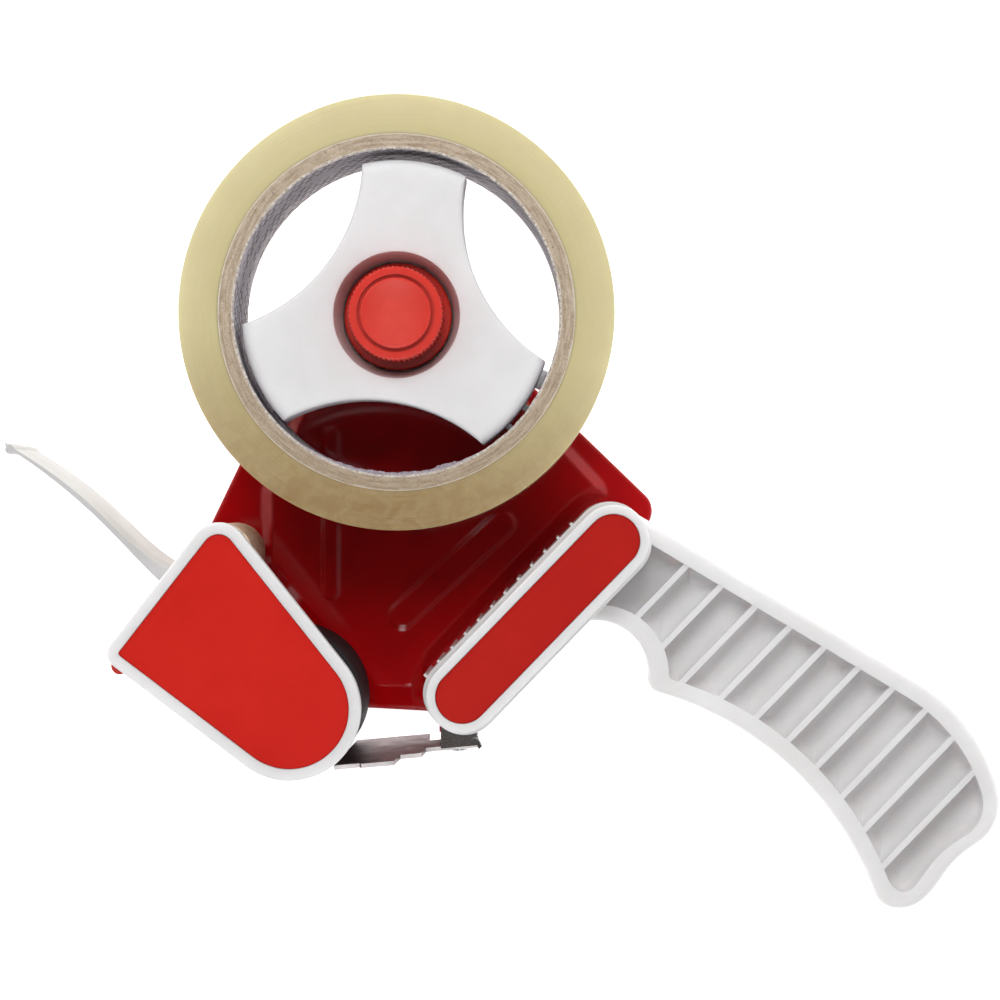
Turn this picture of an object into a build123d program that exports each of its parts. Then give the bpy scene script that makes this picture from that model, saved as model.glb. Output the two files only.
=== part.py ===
from build123d import *
import os
from math import cos, radians, sin

# Hand-held dispenser for 50 mm packing tape, lying on its side plate. Lengths are in millimetres.
# +Z runs along the hub's axis, from the side plate up to the brake knob, and +X towards the grip.
# Everything is drawn around the axis of the tape roll, and level(z) places that drawing in the
# frame, whose origin is the middle of the object's footprint. The roll hangs a little off the
# hub's own axis, so the hub and its brake are drawn on hub_level(z).

# ---------------------------------------------------------------- driving dimensions
ROLL_X = -24.785  # axis of the tape roll, from the middle of the footprint
ROLL_Y = 44.384
HUB_DROP = 0.6  # the hub's axis lies this far below the roll's

SHEET = 1.5  # side plate
PANEL_RISE = 2.0  # height of its pressed panel
PANEL_SLOPE = 2.6  # width of the panel's sloping sides
TAPE_WIDTH = 50.0
TAPE_RADIUS = 50.8
CORE_RADIUS = 41.6
CORE_BORE = 38.0
LINER = 0.25
NEAR_FACE = 60.0  # outer face of the head cover and of the handle block
GRIP_NEAR = 48.0
GRIP_FAR = 20.0

SPINDLE_RADIUS = 4.0
THREAD_PITCH = 1.25
AXLE_RADIUS = 3.0
SMALL_AXLE_RADIUS = 2.0
PIN_RADIUS = 1.5
RUNNING_GAP = 0.06  # radial clearance of everything that turns on a shaft

# heights
PANEL_TOP = SHEET + PANEL_RISE
TAPE_FAR = PANEL_TOP + 3.0
TAPE_NEAR = TAPE_FAR + TAPE_WIDTH
COVER_SKIN = 2.5  # thickness of the head cover's plate
COVER_INNER = NEAR_FACE - COVER_SKIN
HEAD_FAR = 5.0  # the rollers and the flap lie between these two heights
HEAD_NEAR = 53.5

# places around the roll's axis
ROLLER = (-25.8, -91.0)
GUIDE = (-40.7, -56.1)
HEAD_CORNER = (-63.6, -79.3)
COVER_RADII = (((-24.8, -92.3), 16.6), ((-41.2, -55.5), 6.6), (HEAD_CORNER, 3.5))
TYRE_RADIUS = 17.5
GUIDE_RADIUS = 6.9
FLAP_PIN = (-48.5, -64.5)
GUARD_PIN = (-57.1, -70.9)
POSTS = ((-47.5, -76.5), (-41.5, -66.6), (-47.4, -88.6))
POST_RADIUS = 3.0

BLOCK_LOW = (15.3, -89.4)  # centres of the handle block's two round ends
BLOCK_HIGH = (50.4, -53.2)
BLOCK_RADIUS = 8.4
BLOCK_ANGLE = 45.9
BORDER_COVER = 2.7  # white border around the head's red panel
BORDER_BLOCK = 2.1


def level(height):
    """The plane at this height, centred on the roll's axis."""
    return Plane(origin=(ROLL_X, ROLL_Y, height))


def hub_level(height):
    """The plane at this height, centred on the hub's axis."""
    return Plane(origin=(ROLL_X, ROLL_Y - HUB_DROP, height))


def hull_of(circles, inset=0.0):
    """Outline that wraps circles given as ((x, y), radius), drawn in by an inset."""
    with BuildSketch() as hull:
        with BuildLine():
            for centre, radius in circles:
                CenterArc(centre, radius - inset, 0, 360)
        make_hull()
    return hull.sketch


def ring(outer, inner):
    """Round washer shape around the middle of its plane."""
    with BuildSketch() as shape:
        Circle(outer)
        Circle(inner, mode=Mode.SUBTRACT)
    return shape.sketch


def block_outline(grow=0.0):
    """Stadium outline of the handle block."""
    with BuildSketch() as shape:
        SlotCenterPoint(
            ((BLOCK_LOW[0] + BLOCK_HIGH[0]) / 2, (BLOCK_LOW[1] + BLOCK_HIGH[1]) / 2),
            BLOCK_HIGH,
            2 * (BLOCK_RADIUS + grow),
        )
    return shape.sketch


# ---------------------------------------------------------------- side plate
HUB_END = ((-6.9, 0.8), 14.7)
HEAD_END = ((-58.0, -78.5), 3.0)
ROLLER_END = ((-24.8, -92.3), 12.0)
GRIP_END = ((55.5, -46.3), 5.3)
BLOCK_END = ((15.3, -92.0), 7.8)
PANEL_CIRCLES = (
    ((-6.9, 0.8), 9.5),
    ((0.0, 0.0), 9.2),
    ((-30.0, -42.0), 5.0),
    ((-30.0, -58.0), 5.0),
    ((44.0, -42.5), 6.0),
)
PANEL_LOW = (((-5.0, -87.9), 6.0), ((1.0, -87.9), 6.0))
LOW_SLOPE = 2.1  # the panel's lower side slopes this much wider than its other sides
SCREW_HOLE = 1.5
SCREW_HEAD = 3.0
BLOCK_SCREWS = ((21.6, -82.9), (44.1, -59.7))
BRACKET_X = (9.9, 18.4)  # sides of the guide bracket
BRACKET_SCREW = (14.15, -94.6)
BEAD_RISE = 0.3  # stiffening beads on the panel
BEAD_TAPER = 60

with BuildSketch() as plate_outline:
    add(hull_of((HUB_END, HEAD_END, ROLLER_END, BLOCK_END, GRIP_END)))
    with BuildLine():
        Polyline((-15.0, -112.0), (-15.0, -94.3), (8.6, -95.6), (8.6, -112.0), close=True)
    make_face(mode=Mode.SUBTRACT)
    fillet(plate_outline.vertices().filter_by_position(Axis.Y, -96.5, -93.5), 2.0)


def panel_shape(inset, lift=0.0):
    """Outline of the pressed panel, which keeps clear of the handle block."""
    low = tuple(((x, y + lift), radius) for (x, y), radius in PANEL_LOW)
    with BuildSketch() as shape:
        add(hull_of(PANEL_CIRCLES + low, inset))
        add(block_outline(2.2 + inset), mode=Mode.SUBTRACT)
    return shape.sketch


with BuildPart() as side_plate:
    with BuildSketch(level(0)):
        add(plate_outline.sketch)
    extrude(amount=SHEET)
    fillet(side_plate.faces().sort_by(Axis.Z)[-1].outer_wire().edges(), 0.5)
    with BuildSketch(level(SHEET)):
        add(panel_shape(0.0))
    with BuildSketch(level(PANEL_TOP)):
        add(panel_shape(PANEL_SLOPE, LOW_SLOPE))
    loft()
    with BuildSketch(level(0)):
        add(panel_shape(PANEL_SLOPE, LOW_SLOPE))
    extrude(amount=PANEL_RISE, mode=Mode.SUBTRACT)
    with BuildSketch(level(PANEL_TOP)):
        SlotCenterPoint((11.8, -60.7), (24.0, -49.5), 6.8)
        SlotCenterPoint((-17.9, -47.0), (-17.9, -66.0), 4.4)
    extrude(amount=BEAD_RISE, taper=BEAD_TAPER)
    with BuildSketch(hub_level(0)):
        Circle(SPINDLE_RADIUS)
    extrude(amount=PANEL_TOP, mode=Mode.SUBTRACT)
    with BuildSketch(level(0)):
        with Locations(ROLLER):
            Circle(AXLE_RADIUS)
        with Locations(GUIDE):
            Circle(SMALL_AXLE_RADIUS)
        with Locations(FLAP_PIN, GUARD_PIN):
            Circle(PIN_RADIUS)
    extrude(amount=PANEL_TOP, mode=Mode.SUBTRACT)
    with Locations(*[level(0).from_local_coords(place) for place in POSTS + BLOCK_SCREWS + (BRACKET_SCREW,)]):
        with Locations(Rotation(180, 0, 0)):
            CounterSinkHole(SCREW_HOLE, SCREW_HEAD, depth=SHEET, counter_sink_angle=90)


# ---------------------------------------------------------------- handle
POCKET_NEAR = 8.0  # depth of the ribbed pocket on the near side
POCKET_FAR = 12.0
RIB_PITCH = 9.13
RIB_FIRST = 16.6  # first rib, measured across the block's axis
RIB_COUNT = 10
RIB_WIDTH = 1.4
RIB_DROP = 0.6  # from the grip's face down to its ribs
CELL_ROUNDS = (3.2, 3.2, 1.5, 3.2, 3.2, 3.2, 3.2, 3.2, 3.2, 3.2, 2.0)
BLOCK_WALL = 2.4
BLOCK_FACE = 3.0
STEP = 0.7  # shoulder on the block's grip side
STEP_DEPTH = 2.5

with BuildSketch() as grip_outline:
    with BuildLine():
        top = Line((54.6, -46.1), (122.0, -86.3))
        knee = TangentArc(top @ 1, (140.9, -112.5), tangent=top % 1)
        heel = TangentArc(knee @ 1, (135.9, -124.4), tangent=knee % 1)
        belly = ThreePointArc((112.2, -136.4), (90.2, -104.5), (58.7, -88.2))
        Spline(
            heel @ 1, (129.9, -129.4), (125.3, -135.6), (119.0, -139.5), belly @ 0,
            tangents=(heel % 1, belly % 0),
        )
        notch = ThreePointArc(belly @ 1, (55.3, -75.7), (41.5, -72.9))
        Line(notch @ 1, top @ 0)
    make_face()
    fillet(grip_outline.vertices().filter_by_position(Axis.X, 58.0, 60.0), 2.5)

with BuildSketch() as pocket_outline:
    with BuildLine():
        rim = Line((49.2, -48.0), (119.4, -89.9))
        bend = TangentArc(rim @ 1, (137.0, -112.6), tangent=rim % 1)
        corner = TangentArc(bend @ 1, (133.6, -122.2), tangent=bend % 1)
        under = ThreePointArc((114.9, -132.4), (93.0, -101.4), (63.6, -85.6))
        Spline(
            corner @ 1, (127.4, -126.7), (123.0, -132.2), (118.8, -135.7), under @ 0,
            tangents=(corner % 1, under % 0),
        )
        hollow = ThreePointArc(under @ 1, (58.6, -72.9), (45.5, -68.4))
        Line(hollow @ 1, rim @ 0)
    make_face()
    fillet(pocket_outline.vertices().filter_by_position(Axis.X, 62.0, 65.0), 1.5)


def rib_strips(width):
    """The grip's parallel ribs, longer than the pocket is wide."""
    along = radians(BLOCK_ANGLE)
    with BuildSketch() as strips:
        for number in range(RIB_COUNT):
            across = RIB_FIRST + number * RIB_PITCH
            centre = (BLOCK_HIGH[0] + across * sin(along), BLOCK_HIGH[1] - across * cos(along))
            with Locations(Location((centre[0], centre[1], 0), BLOCK_ANGLE)):
                Rectangle(90.0, width)
    return strips.sketch


def rounded_cell(cell, radius):
    """One of the pocket's cells with a round bottom."""
    with BuildPart() as one:
        add(cell)
        fillet(one.faces().sort_by(Axis.Z)[0].edges(), radius)
    return one.part


with BuildPart() as cell_blanks:
    with BuildSketch(level(GRIP_NEAR - POCKET_NEAR)):
        add(pocket_outline.sketch)
        add(rib_strips(RIB_WIDTH), mode=Mode.SUBTRACT)
    extrude(amount=POCKET_NEAR + 1.0)

with BuildPart() as far_ribs:
    with BuildSketch(level(GRIP_FAR + 1.0)):
        add(rib_strips(RIB_WIDTH))
    extrude(amount=POCKET_FAR)
    with BuildSketch(level(GRIP_FAR + 1.0)):
        add(pocket_outline.sketch)
        offset(amount=1.0, mode=Mode.REPLACE)
    extrude(amount=POCKET_FAR, mode=Mode.INTERSECT)

with BuildPart() as handle:
    with BuildSketch(level(GRIP_FAR)):
        add(grip_outline.sketch)
    extrude(amount=GRIP_NEAR - GRIP_FAR)
    fillet(handle.faces().sort_by(Axis.Z)[-1].edges(), 1.6)
    fillet(handle.faces().sort_by(Axis.Z)[0].edges(), 2.2)
    for cell, radius in zip(cell_blanks.solids().sort_by(Axis.X), CELL_ROUNDS):
        add(rounded_cell(cell, radius), mode=Mode.SUBTRACT)
    with BuildSketch(level(GRIP_NEAR - RIB_DROP)):
        add(pocket_outline.sketch)
    extrude(amount=RIB_DROP, mode=Mode.SUBTRACT)
    with BuildSketch(level(GRIP_FAR)):
        add(pocket_outline.sketch)
    extrude(amount=POCKET_FAR, mode=Mode.SUBTRACT)
    add(far_ribs.part)
    with BuildSketch(level(SHEET)):
        with Locations((STEP * sin(radians(BLOCK_ANGLE)), -STEP * cos(radians(BLOCK_ANGLE)))):
            add(block_outline())
    extrude(amount=NEAR_FACE - STEP_DEPTH - SHEET)
    with BuildSketch(level(SHEET)):
        add(block_outline())
    extrude(amount=NEAR_FACE - SHEET)
    fillet(handle.faces().sort_by(Axis.Z)[-1].outer_wire().edges(), 0.6)
    with BuildSketch(level(SHEET)):
        add(block_outline(-BLOCK_WALL))
    extrude(amount=NEAR_FACE - BLOCK_FACE - SHEET, mode=Mode.SUBTRACT)
    with BuildSketch(level(NEAR_FACE)):
        add(block_outline(-BORDER_BLOCK))
    extrude(amount=-1.0, mode=Mode.SUBTRACT)
    with BuildSketch(level(SHEET)):
        with Locations(*BLOCK_SCREWS):
            Circle(BLOCK_RADIUS - BLOCK_WALL + 0.3)
    extrude(amount=14.0)
    with BuildSketch(level(SHEET)):
        with Locations(*BLOCK_SCREWS):
            Circle(SCREW_HOLE)
    extrude(amount=12.0, mode=Mode.SUBTRACT)
    with BuildSketch(level(0)):
        with Locations((14.15, -96.8)):
            Rectangle(BRACKET_X[1] - BRACKET_X[0] + 0.4, 10.4)
    extrude(amount=40.0, mode=Mode.SUBTRACT)

with BuildPart() as handle_label:
    with BuildSketch(level(NEAR_FACE - 1.0)):
        add(block_outline(-BORDER_BLOCK - 0.1))
    extrude(amount=0.65)
    fillet(handle_label.faces().sort_by(Axis.Z)[-1].edges(), 0.3)

# strip with small ribs that the sticky side of the tape faces on its way to the head
STRIP_SHIFT = 1.0
STRIP_FAR = 4.2
STRIP_NEAR = 56.5
STRIP_RIBS = 12
STRIP_PITCH = 4.44
STRIP_FIRST = 4.0  # first rib, back from the centre of the block's upper end
STRIP_REACH = 0.9  # from the block's wall to the middle of a rib

with BuildPart() as anti_stick_strip:
    side = radians(BLOCK_ANGLE + 90.0)
    shift = (STRIP_SHIFT * cos(side), STRIP_SHIFT * sin(side))
    with BuildSketch(level(STRIP_FAR)):
        with Locations(shift):
            add(block_outline())
        along = (cos(radians(BLOCK_ANGLE)), sin(radians(BLOCK_ANGLE)))
        reach = BLOCK_RADIUS + STRIP_REACH
        for number in range(STRIP_RIBS):
            back = STRIP_FIRST + number * STRIP_PITCH
            rib = (
                BLOCK_HIGH[0] + reach * cos(side) - back * along[0],
                BLOCK_HIGH[1] + reach * sin(side) - back * along[1],
            )
            with Locations(Location((rib[0], rib[1], 0), BLOCK_ANGLE)):
                Rectangle(0.7, 1.3)
        add(block_outline(), mode=Mode.SUBTRACT)
    extrude(amount=STRIP_NEAR - STRIP_FAR)
    with BuildSketch(level(STRIP_FAR)):
        add(grip_outline.sketch)
    extrude(amount=STRIP_NEAR - STRIP_FAR, mode=Mode.SUBTRACT)


# ---------------------------------------------------------------- head
with BuildPart() as head_cover:
    with BuildSketch(level(NEAR_FACE - 5.0)):
        add(hull_of(COVER_RADII))
    extrude(amount=5.0)
    fillet(head_cover.faces().sort_by(Axis.Z)[-1].edges(), 0.7)
    with BuildSketch(level(NEAR_FACE - 5.0)):
        add(hull_of(COVER_RADII, 1.8))
    extrude(amount=5.0 - COVER_SKIN, mode=Mode.SUBTRACT)
    with BuildSketch(level(NEAR_FACE)):
        add(hull_of(COVER_RADII, BORDER_COVER))
    extrude(amount=-1.0, mode=Mode.SUBTRACT)

with BuildPart() as head_label:
    with BuildSketch(level(NEAR_FACE - 1.0)):
        add(hull_of(COVER_RADII, BORDER_COVER + 0.1))
    extrude(amount=0.65)
    fillet(head_label.faces().sort_by(Axis.Z)[-1].edges(), 0.3)

with BuildPart() as head_posts:
    with BuildSketch(level(SHEET)):
        with Locations(*POSTS):
            Circle(POST_RADIUS)
    extrude(amount=COVER_INNER - SHEET)
    with BuildSketch(level(SHEET)):
        with Locations(*POSTS):
            Circle(SCREW_HOLE)
    extrude(amount=9.0, mode=Mode.SUBTRACT)


def countersunk_screw(place, length):
    """Countersunk screw, head flush with the back of the side plate."""
    with BuildPart() as screw:
        with BuildSketch(Plane(level(0).from_local_coords(place), x_dir=(1, 0, 0), z_dir=(0, -1, 0))):
            with BuildLine():
                Polyline(
                    (0, 0), (SCREW_HEAD, 0), (SCREW_HOLE, SCREW_HEAD - SCREW_HOLE),
                    (SCREW_HOLE, length), (0, length), close=True,
                )
            make_face()
        revolve(axis=Axis(level(0).from_local_coords(place), (0, 0, 1)))
        with BuildSketch(Plane(origin=level(0).from_local_coords(place))):
            Rectangle(3.4, 0.7)
            Rectangle(0.7, 3.4)
        extrude(amount=0.8, mode=Mode.SUBTRACT)
    return screw.part


with BuildPart() as head_screws:
    for place in POSTS:
        add(countersunk_screw(place, SHEET + 8.0))

with BuildPart() as handle_screws:
    for place in BLOCK_SCREWS:
        add(countersunk_screw(place, SHEET + 11.0))

with BuildPart() as bracket_screw:
    add(countersunk_screw(BRACKET_SCREW, SHEET + 1.2))


def shaft(place, radius, low, high):
    """Plain round shaft between two heights."""
    with BuildPart() as rod:
        with BuildSketch(level(low)):
            with Locations(place):
                Circle(radius)
        extrude(amount=high - low)
        chamfer(rod.edges().filter_by(GeomType.CIRCLE), 0.3)
    return rod.part


with BuildPart() as roller_axle:
    add(shaft(ROLLER, AXLE_RADIUS, 0.0, COVER_INNER))

with BuildPart() as guide_axle:
    add(shaft(GUIDE, SMALL_AXLE_RADIUS, 0.0, COVER_INNER))

with BuildPart() as flap_pin:
    add(shaft(FLAP_PIN, PIN_RADIUS, 0.0, COVER_INNER))

with BuildPart() as guard_pin:
    add(shaft(GUARD_PIN, PIN_RADIUS, 0.0, COVER_INNER))

with BuildPart() as axle_clips:
    with BuildSketch(level(HEAD_NEAR + 0.4)):
        for place, radius in ((ROLLER, AXLE_RADIUS), (GUIDE, SMALL_AXLE_RADIUS)):
            with Locations(place):
                Circle(radius + 1.8)
        for place, radius in ((ROLLER, AXLE_RADIUS), (GUIDE, SMALL_AXLE_RADIUS)):
            with Locations(place):
                Circle(radius, mode=Mode.SUBTRACT)
            with Locations((place[0], place[1] - radius - 1.0)):
                Rectangle(radius, 4.0, mode=Mode.SUBTRACT)
    extrude(amount=0.8)

CORE_SHELL = 13.5  # radius where the rubber sits on the roller's core

with BuildPart() as roller_core:
    with BuildSketch(level(HEAD_FAR)):
        with Locations(ROLLER):
            Circle(CORE_SHELL)
            Circle(AXLE_RADIUS + RUNNING_GAP, mode=Mode.SUBTRACT)
    extrude(amount=HEAD_NEAR - HEAD_FAR)
    for height, depth in ((HEAD_NEAR, -18.0), (HEAD_FAR, 18.0)):
        with BuildSketch(level(height)):
            with Locations(ROLLER):
                Circle(CORE_SHELL - 1.8)
                Circle(AXLE_RADIUS + 2.4, mode=Mode.SUBTRACT)
        extrude(amount=depth, mode=Mode.SUBTRACT)

with BuildPart() as roller_tyre:
    with BuildSketch(level(HEAD_FAR + 0.3)):
        with Locations(ROLLER):
            Circle(TYRE_RADIUS)
            Circle(CORE_SHELL, mode=Mode.SUBTRACT)
    extrude(amount=HEAD_NEAR - HEAD_FAR - 0.6)
    rims = roller_tyre.edges().filter_by(GeomType.CIRCLE).sort_by(SortBy.RADIUS)[-2:]
    fillet(rims, 0.8)

with BuildPart() as guide_roller:
    with BuildSketch(level(HEAD_FAR)):
        with Locations(GUIDE):
            Circle(GUIDE_RADIUS)
            Circle(SMALL_AXLE_RADIUS + RUNNING_GAP, mode=Mode.SUBTRACT)
    extrude(amount=HEAD_NEAR - HEAD_FAR)
    rims = guide_roller.edges().filter_by(GeomType.CIRCLE).sort_by(SortBy.RADIUS)[-2:]
    fillet(rims, 0.6)

# flap that presses the tape's end, a tapered leaf on an eye
FLAP_FAR = 5.6
FLAP_NEAR = 54.6

with BuildPart() as tape_flap:
    with BuildSketch(level(FLAP_FAR)):
        with BuildLine():
            upper = Spline((-91.6, -30.3), (-83.0, -35.7), (-72.0, -44.2), (-57.0, -57.6), (-49.6, -61.4))
            root = Line(upper @ 1, (-50.9, -66.6))
            lower = Spline(root @ 1, (-56.6, -61.4), (-69.5, -48.2), (-76.5, -41.9), (-90.9, -31.5))
            Line(lower @ 1, upper @ 0)
        make_face()
        with Locations((-90.2, -31.9)):
            Circle(1.1)
        with Locations(FLAP_PIN):
            Circle(3.2)
            Circle(PIN_RADIUS + RUNNING_GAP, mode=Mode.SUBTRACT)
    extrude(amount=FLAP_NEAR - FLAP_FAR)

# the cutter: edge directions along the head's lower side and out of it
OUTWARD = (-0.602, -0.799)
EDGEWISE = (0.799, -0.602)


def head_point(edgewise, outward):
    """Point of the head given along its lower edge and across it."""
    return (
        edgewise * EDGEWISE[0] + outward * OUTWARD[0],
        edgewise * EDGEWISE[1] + outward * OUTWARD[1],
    )


def head_strip(near, far, inner, outer):
    """Straight strip of the cutter's section, between two edgewise and two outward places."""
    with BuildSketch() as strip:
        with BuildLine():
            Polyline(
                head_point(near, inner), head_point(far, inner),
                head_point(far, outer), head_point(near, outer), close=True,
            )
        make_face()
    return strip.sketch


GUARD_LINE = -2.0
NOSE = head_point(GUARD_LINE, 104.6)
BLADE_FACE = 0.2
BLADE_BACK = 1.0
BLADE_INNER = 92.0
BLADE_OUTER = 103.6
BLADE_FAR = 5.6
BLADE_TEETH = 24
TOOTH = 2.0
HOLDER_BACK = 2.2

with BuildPart() as blade_guard:
    with BuildSketch(level(FLAP_FAR)):
        add(hull_of(((GUARD_PIN, 1.6), (NOSE, 1.1))))
        with Locations(GUARD_PIN):
            Circle(2.5)
        with Locations(NOSE):
            Circle(2.0)
        with Locations(GUARD_PIN):
            Circle(PIN_RADIUS + RUNNING_GAP, mode=Mode.SUBTRACT)
    extrude(amount=FLAP_NEAR - FLAP_FAR)

with BuildPart() as blade:
    with BuildSketch(level(BLADE_FAR)):
        add(head_strip(BLADE_FACE, BLADE_BACK, BLADE_INNER, BLADE_OUTER))
    extrude(amount=BLADE_TEETH * TOOTH)
    side_plane = Plane(
        origin=level(BLADE_FAR).from_local_coords(head_point(BLADE_FACE, BLADE_OUTER)),
        x_dir=(0, 0, 1),
        z_dir=(EDGEWISE[0], EDGEWISE[1], 0),
    )
    with BuildSketch(side_plane):
        with BuildLine():
            for number in range(BLADE_TEETH):
                start = number * TOOTH
                Line((start, 0.5), (start + TOOTH / 2, -1.6))
                Line((start + TOOTH / 2, -1.6), (start + TOOTH, 0.5))
            Line((BLADE_TEETH * TOOTH, 0.5), (0, 0.5))
        make_face()
    extrude(amount=2.0, both=True, mode=Mode.SUBTRACT)

with BuildPart() as blade_holder:
    with BuildSketch(level(SHEET)):
        add(head_strip(BLADE_BACK, HOLDER_BACK, 91.0, 101.0))
    extrude(amount=COVER_INNER - SHEET)
    for height, thick in ((SHEET, 1.2), (COVER_INNER, -1.2)):
        with BuildSketch(level(height)):
            add(head_strip(BLADE_BACK, 9.0, 93.0, 101.0))
        extrude(amount=thick)

def rivet(plane, head_radius, head_height, shank_radius, shank_length):
    """Round-headed rivet whose head stands on this plane and whose shank goes down from it."""
    with BuildPart() as one:
        with BuildSketch(plane):
            Circle(head_radius)
        extrude(amount=head_height)
        fillet(one.faces().sort_by(Axis(plane.origin, plane.z_dir))[-1].edges(), head_height / 2)
        with BuildSketch(plane):
            Circle(shank_radius)
        extrude(amount=-shank_length)
    return one.part


with BuildPart() as blade_screws:
    for height in (16.0, 43.0):
        place = level(height).from_local_coords(head_point(HOLDER_BACK, 96.0))
        holder_plane = Plane(origin=place, z_dir=(EDGEWISE[0], EDGEWISE[1], 0))
        add(rivet(holder_plane, 2.4, 1.3, 1.25, HOLDER_BACK - BLADE_FACE))

for riveted in (blade, blade_holder):
    with riveted:
        add(blade_screws.part, mode=Mode.SUBTRACT)


# ---------------------------------------------------------------- tape guide at the roller
BRACKET_SHEET = 1.2
BRACKET_REACH = -92.4  # how far its two flanges reach under the block
BRACKET_NEAR = 40.0
GUIDE_THICK = 1.0
GUIDE_LEAN = 0.055  # the guide's near edge hangs lower than its far edge
GUIDE_START = level(30.0).from_local_coords((-2.0, -103.0))
guide_plane = Plane(GUIDE_START, x_dir=(0.996, 0.09, 0), z_dir=(0.09, -0.994, -GUIDE_LEAN))

with BuildPart() as guide_plate:
    with BuildSketch(guide_plane):
        with BuildLine():
            Polyline(
                (-9.4, -26.0), (8.6, -26.0), (8.6, -10.5), (20.6, -10.5), (20.6, 5.5), (8.2, 5.5),
                (7.4, 15.5), (2.4, 15.5), (1.2, 27.0), (-6.4, 27.0), (-6.8, 25.6), (-12.8, 25.6),
                close=True,
            )
        make_face()
    extrude(amount=GUIDE_THICK)

bracket_middle = (BRACKET_X[0] + BRACKET_X[1]) / 2
bracket_width = BRACKET_X[1] - BRACKET_X[0]

with BuildPart() as guide_bracket:
    with BuildSketch(level(SHEET)):
        with Locations((bracket_middle, BRACKET_REACH)):
            Rectangle(bracket_width, 16.0, align=(Align.CENTER, Align.MAX))
    extrude(amount=BRACKET_SHEET)
    with BuildSketch(level(BRACKET_NEAR)):
        with Locations((bracket_middle, BRACKET_REACH)):
            Rectangle(bracket_width, 16.0, align=(Align.CENTER, Align.MAX))
    extrude(amount=-BRACKET_SHEET)
    with BuildSketch(guide_plane):
        Rectangle(80.0, 80.0)
    extrude(amount=30.0, mode=Mode.SUBTRACT)
    with BuildSketch(guide_plane):
        with Locations((16.2, -9.3)):
            Rectangle(bracket_width, 60.0)
    extrude(amount=-BRACKET_SHEET)
    with BuildSketch(level(SHEET)):
        with Locations((bracket_middle, -97.0)):
            Rectangle(40.0, 20.0)
    extrude(amount=BRACKET_NEAR - SHEET, mode=Mode.INTERSECT)
    with Locations(level(SHEET).from_local_coords(BRACKET_SCREW)):
        Hole(SCREW_HOLE, depth=2 * BRACKET_SHEET)

with BuildPart() as bracket_rivets:
    for along in (-6.5, 1.5):
        place = guide_plane.from_local_coords((16.2, along, GUIDE_THICK))
        add(rivet(Plane(place, z_dir=guide_plane.z_dir), 1.9, 0.8, 1.1, GUIDE_THICK + BRACKET_SHEET))

for riveted in (guide_plate, guide_bracket):
    with riveted:
        add(bracket_rivets.part, mode=Mode.SUBTRACT)

# ---------------------------------------------------------------- hub
LOBES = (83.2, 203.2, 323.2)
LOBE_RADIUS = 36.2
LOBE_HALF = 19.2
VALLEY_RADIUS = 20.2
LOBE_ROUND = 2.6  # rounding of the lobes' outer ends
SKIRT_FAR = 36.0  # how far down the spider's walls reach
HUB_FAR = TAPE_FAR
HUB_NEAR = TAPE_NEAR - 0.3
HUB_SKIN = 2.6
RECESS_MOUTH = 14.8
RECESS_RADIUS = 12.95
RECESS_CONE = 44.0  # the recess is straight below this height and opens above it
RECESS_FLOOR = 36.0
TUBE_RADIUS = 14.5


def polar(radius, angle):
    """Point at this radius and angle around the hub's axis."""
    return (radius * cos(radians(angle)), radius * sin(radians(angle)))


def lobed_outline(radius, half, valley):
    """Three lobes with round ends, joined by hollow flanks."""
    with BuildSketch() as shape:
        with BuildLine():
            for lobe in LOBES:
                ThreePointArc(polar(radius, lobe - half), polar(radius, lobe), polar(radius, lobe + half))
                ThreePointArc(
                    polar(radius, lobe + half),
                    polar(valley, lobe + 60.0),
                    polar(radius, lobe + 120.0 - half),
                )
        make_face()
        fillet(shape.vertices(), 2.0)
    return shape.sketch


with BuildPart() as lobe_ends:
    with BuildSketch(hub_level(HUB_FAR)):
        Circle(LOBE_RADIUS)
    extrude(amount=HUB_NEAR - HUB_FAR)
    fillet(lobe_ends.faces().sort_by(Axis.Z)[-1].edges(), LOBE_ROUND)

with BuildPart() as hub_spider:
    with BuildSketch(hub_level(SKIRT_FAR)):
        add(lobed_outline(LOBE_RADIUS + 1.0, LOBE_HALF, VALLEY_RADIUS))
    extrude(amount=HUB_NEAR - SKIRT_FAR)
    fillet(hub_spider.faces().sort_by(Axis.Z)[-1].outer_wire().edges(), 1.0)
    add(lobe_ends.part, mode=Mode.INTERSECT)
    with BuildSketch(hub_level(SKIRT_FAR)):
        add(lobed_outline(LOBE_RADIUS - 2.2, LOBE_HALF - 4.0, VALLEY_RADIUS - 2.2))
    extrude(amount=HUB_NEAR - SKIRT_FAR - HUB_SKIN, mode=Mode.SUBTRACT)
    with BuildSketch(hub_level(HUB_FAR)):
        Circle(TUBE_RADIUS)
    extrude(amount=HUB_NEAR - HUB_FAR)
    with BuildSketch(hub_level(RECESS_CONE)):
        Circle(TUBE_RADIUS)
    with BuildSketch(hub_level(HUB_NEAR - 1.0)):
        Circle(RECESS_MOUTH + 1.5)
    loft()
    with BuildSketch(hub_level(RECESS_FLOOR)):
        Circle(RECESS_RADIUS)
    extrude(amount=RECESS_CONE - RECESS_FLOOR, mode=Mode.SUBTRACT)
    with BuildSketch(hub_level(RECESS_CONE)):
        Circle(RECESS_RADIUS)
    with BuildSketch(hub_level(HUB_NEAR)):
        Circle(RECESS_MOUTH)
    loft(mode=Mode.SUBTRACT)
    with BuildSketch(hub_level(HUB_FAR)):
        add(ring(RECESS_RADIUS, SPINDLE_RADIUS + 2.6))
    extrude(amount=RECESS_FLOOR - HUB_FAR - 3.0, mode=Mode.SUBTRACT)
    with BuildSketch(hub_level(HUB_FAR)):
        Circle(SPINDLE_RADIUS + RUNNING_GAP)
    extrude(amount=HUB_NEAR - HUB_FAR, mode=Mode.SUBTRACT)

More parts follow.
